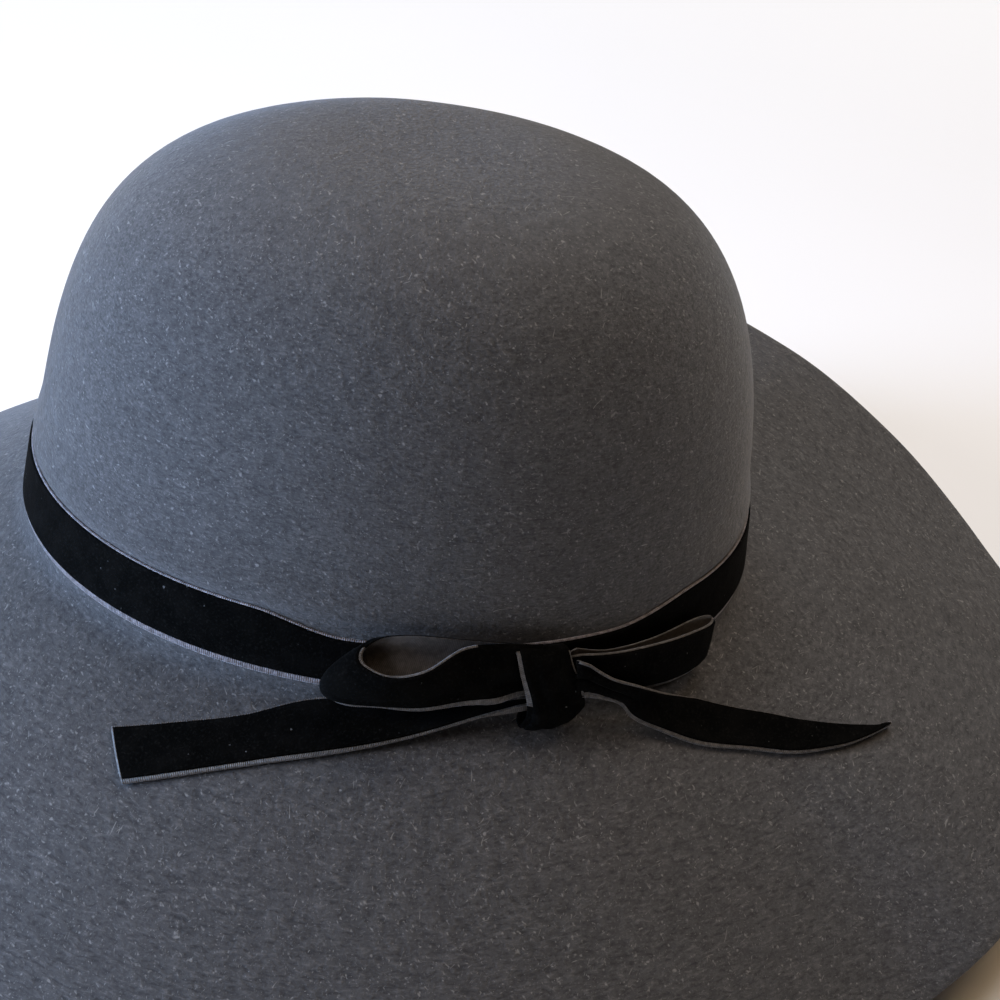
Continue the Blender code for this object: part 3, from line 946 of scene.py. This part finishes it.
def brushed_streaks(nodes, place):
    """Noise drawn out round the crown as the felt is brushed, and even near the crown's axis."""
    offset = nodes.add("ShaderNodeVectorMath", {"operation": "SUBTRACT"}, {
        0: bend(nodes, place, *STREAK_BEND), 1: AXIS,
    }).outputs[0]
    x, y, z = nodes.split(offset)
    round_way = nodes.math("MULTIPLY", nodes.math("ARCTAN2", y, x), BRUSH_RADIUS)
    reach = nodes.spread(x, y)
    brushed = nodes.add("ShaderNodeCombineXYZ", None, {0: round_way, 1: reach, 2: z}).outputs[0]
    streaks = nodes.noise(nodes.stretch(brushed, STREAK_SIZE, UNTURNED, UNMOVED), 1.0, 2.0, 0.6)
    even = nodes.noise(place, EVEN_SCALE, 2.0, 0.6)
    away = nodes.ramp(reach, *BRUSH_START)
    return nodes.math("ADD", even, nodes.math("MULTIPLY", nodes.math("SUBTRACT", streaks, even), away))


def felt_material():
    """Grey wool felt: mottled and brushed, with pale flecks and loose fibres."""
    nodes = Nodes("grey_wool_felt")
    place = nodes.place()
    streaks = brushed_streaks(nodes, place)
    flecks = nodes.noise(nodes.stretch(place, FLECK_SIZE, FLECK_TURN, UNMOVED), 1.0, 1.0)
    specks = nodes.noise(place, FLECK_SPECKS, 1.0)
    pale = nodes.math("MAXIMUM", nodes.ramp(flecks, 0.66, 0.80), nodes.ramp(specks, 0.68, 0.82))
    hairs = fibre_mask(nodes, bend(nodes, place, *FIBRE_BEND))
    cloud = nodes.ramp(nodes.noise(place, CLOUD_SCALE, 2.0), 0.3, 0.7)
    mottle = nodes.ramp(nodes.noise(place, MOTTLE_SCALE, 2.0, 0.6), 0.25, 0.75)
    grain = nodes.noise(place, GRAIN_SCALE, 2.0, 0.7)
    base = nodes.mix(mottle, FELT_DARK, FELT_LIGHT)
    for mask, colour in (
        (nodes.math("MULTIPLY", cloud, 0.25), FELT_CLOUD),
        (nodes.ramp(streaks, 0.50, 0.28, 0.0, 0.75), STREAK_DARK),
        (nodes.ramp(streaks, 0.54, 0.72, 0.0, 0.50), WOOL_PALE),
        (nodes.ramp(grain, 0.50, 0.25, 0.0, 0.50), GRAIN_DARK),
        (nodes.ramp(grain, 0.55, 0.75, 0.0, 0.40), WOOL_PALE),
        (nodes.math("MULTIPLY", pale, 0.62), FLECK_PALE),
        (nodes.math("MULTIPLY", hairs, 0.60), HAIR_PALE),
    ):
        base = nodes.mix(mask, base, colour)
    height = nodes.math("ADD", nodes.math("MULTIPLY", streaks, 1.1), nodes.math("MULTIPLY", mottle, 0.5))
    height = nodes.math("ADD", height, nodes.math("MULTIPLY", grain, 0.6))
    return nodes.finish(
        base, 0.92, nodes.bump(height, 0.00030, 0.6), sheen=(0.22, 0.55, (0.82, 0.83, 0.86, 1)),
        Specular_IOR_Level=0.25,
    )


def velvet_material():
    """Black velvet pile, softly brushed, with a little fuzz and lint."""
    nodes = Nodes("black_velvet_pile")
    place = nodes.place()
    brushed = nodes.ramp(nodes.noise(place, VELVET_BRUSHED, 2.0), 0.35, 0.7)
    pile = nodes.noise(place, VELVET_PILE, 2.0, 0.7)
    lint = nodes.ramp(nodes.noise(place, LINT_SCALE, 1.0, 0.3), 0.77, 0.86)
    fuzz = nodes.ramp(nodes.noise(place, FUZZ_SCALE, 2.0, 0.7), 0.50, 0.78, 0.0, 0.6)
    base = nodes.mix(brushed, VELVET_DARK, VELVET_LIGHT)
    base = nodes.mix(fuzz, base, VELVET_FUZZ)
    base = nodes.mix(nodes.math("MULTIPLY", lint, 0.5), base, LINT_PALE)
    height = nodes.math("ADD", nodes.math("MULTIPLY", pile, 0.6), nodes.math("MULTIPLY", brushed, 0.5))
    return nodes.finish(
        base, 0.95, nodes.bump(height, 0.0003, 0.6), sheen=(0.011, 0.35, (0.74, 0.70, 0.64, 1)),
        Specular_IOR_Level=0.03,
    )


def woven_ribs(nodes, spacing):
    """Ribs across the ribbon, and the length along it."""
    along = nodes.split(nodes.flat())[1]
    return nodes.math("SINE", nodes.math("MULTIPLY", along, 2 * math.pi / spacing)), along


def selvage_material(name, dull, bright, sheen):
    """A ribbon's flat woven edge, between a dull and a bright colour."""
    nodes = Nodes(name)
    ribs, _ = woven_ribs(nodes, SELVAGE_RIB)
    worn = nodes.ramp(nodes.noise(nodes.place(), WORN_SCALE, 2.0, 0.6), 0.3, 0.7)
    base = nodes.mix(worn, dull, bright)
    base = nodes.mix(nodes.ramp(ribs, -1, 1, 0.0, 0.35), base, SELVAGE_GROOVE)
    return nodes.finish(
        base, 0.5, nodes.bump(ribs, 0.00008, 0.6), sheen=(sheen, 0.3, (1.0, 0.96, 0.98, 1)),
        Specular_IOR_Level=0.4,
    )


def satin_material():
    """The ribbon's satin back, with a painted highlight where a loop turns it to the light."""
    nodes = Nodes("ribbon_satin_back")
    ribs, along = woven_ribs(nodes, SATIN_RIB)
    uneven = nodes.ramp(nodes.noise(nodes.place(), SATIN_SCALE, 2.0, 0.6), 0.3, 0.7)
    # Past a set length along the ribbon the satin is painted paler: a painted highlight
    turned = nodes.ramp(along, *SATIN_HIGHLIGHT_ALONG)
    base = nodes.mix(uneven, SATIN_DARK, SATIN_LIGHT)
    base = nodes.mix(nodes.math("MULTIPLY", turned, 0.9), base, SATIN_PAINTED_HIGHLIGHT)
    base = nodes.mix(nodes.ramp(ribs, -1, 1, 0.0, 0.55), base, SATIN_GROOVE)
    return nodes.finish(
        base, 0.42, nodes.bump(ribs, 0.00006, 0.5), sheen=(0.15, 0.35, (1.0, 0.93, 0.88, 1)),
        Specular_IOR_Level=0.5,
    )


def floor_material():
    """Pale floor that turns into the white backdrop away from the hat."""
    nodes = Nodes("pale_floor")
    place = nodes.place()
    tone = nodes.ramp(nodes.noise(place, FLOOR_SCALE, 2.0), 0.2, 0.8)
    base = nodes.mix(tone, FLOOR_DARK, FLOOR_LIGHT)
    x, y, _ = nodes.split(place)
    glow = nodes.ramp(nodes.spread(x, y), FADE_START, FADE_END, 0.0, FLOOR_GLOW)
    nodes.put(nodes.shader.inputs["Emission Strength"], glow)
    nodes.shader.inputs["Emission Color"].default_value = WHITE
    return nodes.finish(base, 0.9, None, Specular_IOR_Level=0.1)


# Soft lights: name, place, width across, power in watts and colour
LIGHTS = [
    ("window_low", (-1.20, -0.22, 0.15), 0.6, 31.0, (0.29, 0.55, 1.00)),
    ("window_high", (-1.10, -0.40, 0.55), 0.6, 9.7, (0.95, 0.94, 1.00)),
    ("ceiling", (0.00, 0.50, 1.40), 1.2, 15.0, (0.87, 0.93, 1.00)),
    ("ceiling_right", (0.40, 0.20, 1.40), 1.0, 7.2, (1.00, 0.70, 0.40)),
]
LIGHTS_AIM = (0, 0, 0.10)

# The world's light on the hat, and the white backdrop that the camera sees
WORLD_LIGHT = 0.055
WORLD_COLOUR = (1.0, 0.76, 0.57, 1)
WORLD_SEEN = 0.95

# Distances from the hat between which the floor turns into the backdrop, its own glow there, and half of
# its width
FADE_START = 0.35
FADE_END = 2.0
FLOOR_GLOW = 0.85
FLOOR_HALF = 6.0


def add_area(name, place, size, power, colour):
    """A round soft light that points at the hat."""
    lamp = bpy.data.lights.new(name, "AREA")
    lamp.shape = "DISK"
    lamp.size = size
    lamp.energy = power
    lamp.color = colour
    holder = bpy.data.objects.new(name, lamp)
    bpy.context.scene.collection.objects.link(holder)
    holder.location = place
    holder.rotation_euler = (Vector(LIGHTS_AIM) - Vector(place)).to_track_quat("-Z", "Y").to_euler()


def make_floor():
    """A square floor under the hat."""
    build = bmesh.new()
    signs = ((-1, -1), (1, -1), (1, 1), (-1, 1))
    build.faces.new([build.verts.new((x * FLOOR_HALF, y * FLOOR_HALF, 0)) for x, y in signs])
    floor = link_mesh("floor", build, [floor_material()])


def make_world():
    """A weak warm light all round, which the camera sees as a white backdrop."""
    world = bpy.data.worlds.new("studio")
    bpy.context.scene.world = world
    world.use_nodes = True
    tree = world.node_tree
    background = tree.nodes["Background"]
    seen = tree.nodes.new("ShaderNodeLightPath").outputs["Is Camera Ray"]
    strength = tree.nodes.new("ShaderNodeMapRange")
    strength.inputs["To Min"].default_value = WORLD_LIGHT
    strength.inputs["To Max"].default_value = WORLD_SEEN
    tint = tree.nodes.new("ShaderNodeMix")
    tint.data_type = "RGBA"
    tint.inputs[6].default_value = WORLD_COLOUR
    tint.inputs[7].default_value = WHITE
    tree.links.new(seen, strength.inputs["Value"])
    tree.links.new(seen, tint.inputs[0])
    tree.links.new(tint.outputs[2], background.inputs["Color"])
    tree.links.new(strength.outputs[0], background.inputs["Strength"])


make_camera()
arcs = band_arcs()
felt = make_felt(felt_material())
bow_selvage = selvage_material("bow_selvage", BOW_SELVAGE_DULL, BOW_SELVAGE_BRIGHT, 0.20)
# The band's selvage colours are paler than the bow's selvage: a painted reflection
band_selvage_painted_sheen = selvage_material("band_selvage_painted_sheen", BAND_SELVAGE_PAINTED_SHEEN_DULL, BAND_SELVAGE_PAINTED_SHEEN_BRIGHT, 0.55)
velvet = velvet_material()
satin = satin_material()
ribbon = [velvet, bow_selvage, satin]
band = make_band([velvet, band_selvage_painted_sheen, satin])
left_loop = make_loop(
    "velvet_loop_left", -1, LEFT_LOOP_LENGTH, LEFT_LOOP, arcs, ribbon,
    folds=2, scoop=0.0036, flare=0.0017, round_end=0.09, bare=LEFT_LOOP_BARE,
)
right_loop = make_loop(
    "velvet_loop_right", 1, RIGHT_LOOP_LENGTH, RIGHT_LOOP, arcs, ribbon,
    folds=2, scoop=0.0012, flare=0.0, round_end=0.0, bare=(),
)
left_tail = make_tail("velvet_tail_left", -1, LEFT_TAIL_LENGTH, LEFT_TAIL, arcs, ribbon, folds=1.5)
right_tail = make_tail("velvet_tail_right", 1, RIGHT_TAIL_LENGTH, RIGHT_TAIL, arcs, ribbon, folds=3)
knot = make_knot(arcs, [velvet, bow_selvage, velvet])
make_floor()
make_world()
for name, place, size, power, colour in LIGHTS:
    add_area(name, place, size, power, colour)

for piece, node, finish in (
    (felt, "crown_and_brim", "grey_felt"),
    (band, "ribbon_band", "black_velvet"),
    (left_loop, "bow_loop_left", "black_velvet"),
    (right_loop, "bow_loop_right", "black_velvet"),
    (left_tail, "bow_tail_left", "black_velvet"),
    (right_tail, "bow_tail_right", "black_velvet"),
    (knot, "bow_knot", "black_velvet"),
):
    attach(piece, "root")
    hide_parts(node)

bpy.context.scene.view_settings.view_transform = "Standard"
